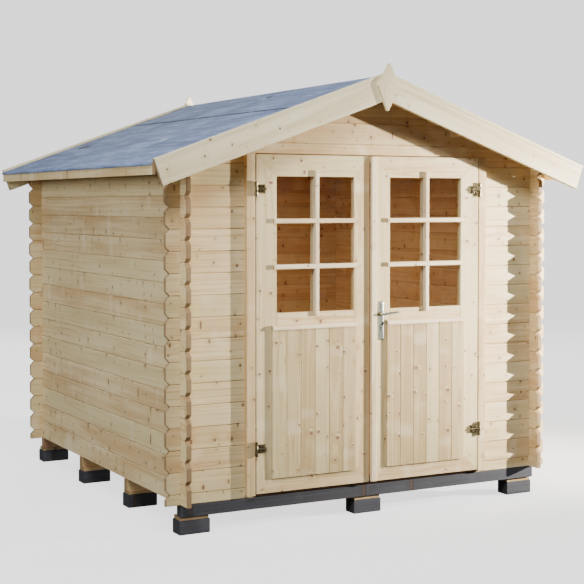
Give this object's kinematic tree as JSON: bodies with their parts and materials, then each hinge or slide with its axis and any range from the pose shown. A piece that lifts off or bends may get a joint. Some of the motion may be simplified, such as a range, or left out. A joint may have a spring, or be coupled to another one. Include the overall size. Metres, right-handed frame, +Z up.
{
  "type": "wooden garden house",
  "caption": "Small gabled garden house of interlocking planks with crossed corners, a felt roof and a glazed double door.",
  "frame": {"origin": "on the ground, at the middle of the plan", "axes": "+X to the right seen from the front, +Y to the back, +Z up"},
  "size_m": [2.72, 2.679, 2.4718],
  "materials": {
    "wood_new": "planed pale spruce",
    "wood_end": "raw brown softwood",
    "wood_dark": "dark grey impregnated softwood, weathered",
    "roof_felt": "blue-grey mineral roofing felt",
    "zinc": "yellow zinc plating",
    "steel": "satin silver",
    "glass": "clear float glass"
  },
  "bodies": {
    "house": {"foundation_blocks": "wood_dark", "packing_boards": "wood_new", "front_beam": "wood_dark", "rear_beam": "wood_end", "floor_bearers": "wood_new", "floor_boards": "wood_new", "left_wall": "wood_new", "right_wall": "wood_new", "rear_wall": "wood_new", "rear_gable": "wood_new", "front_wall_left": "wood_new", "front_wall_right": "wood_new", "front_gable": "wood_new", "ridge_beam": "wood_new", "purlins": "wood_new", "roof_boards_left": "wood_new", "roof_boards_right": "wood_new", "roof_felt_left": "roof_felt", "roof_felt_right": "roof_felt", "ridge_felt": "roof_felt", "fascia_boards": "wood_new", "front_bargeboards": "wood_new", "rear_bargeboards": "wood_new", "finials": "wood_new", "door_post_left": "wood_new", "door_post_right": "wood_new", "door_stops": "wood_new", "door_head": "wood_new", "door_threshold": "wood_end", "hinge_barrels": "zinc"},
    "left_leaf": {"left_leaf_stiles": "wood_new", "left_leaf_rails": "wood_new", "left_leaf_panel": "wood_new", "left_leaf_moulding": "wood_new", "left_leaf_glass": "glass", "left_leaf_hinges": "zinc"},
    "right_leaf": {"right_leaf_stiles": "wood_new", "right_leaf_rails": "wood_new", "right_leaf_panel": "wood_new", "right_leaf_moulding": "wood_new", "right_leaf_glass": "glass", "right_leaf_hinges": "zinc", "cover_strip": "wood_new", "handle_plate": "steel"},
    "handle": {"door_handle": "steel"}
  },
  "joints": [
    {"name": "left_leaf_hinge", "type": "hinge", "parent": "house", "child": "left_leaf", "pos_m": [-0.716, -1.1775, 0.26], "axis": [0, 0, -1], "range_deg": [0, 110]},
    {"name": "right_leaf_hinge", "type": "hinge", "parent": "house", "child": "right_leaf", "pos_m": [0.716, -1.1775, 0.26], "axis": [0, 0, 1], "range_deg": [0, 110]},
    {"name": "handle_turn", "type": "hinge", "parent": "right_leaf", "child": "handle", "pos_m": [0.053, -1.1665, 1.108], "axis": [0, 1, 0], "range_deg": [0, 45], "stiffness_Nm_per_rad": 1.2, "springref_deg": -20.05}
  ]
}
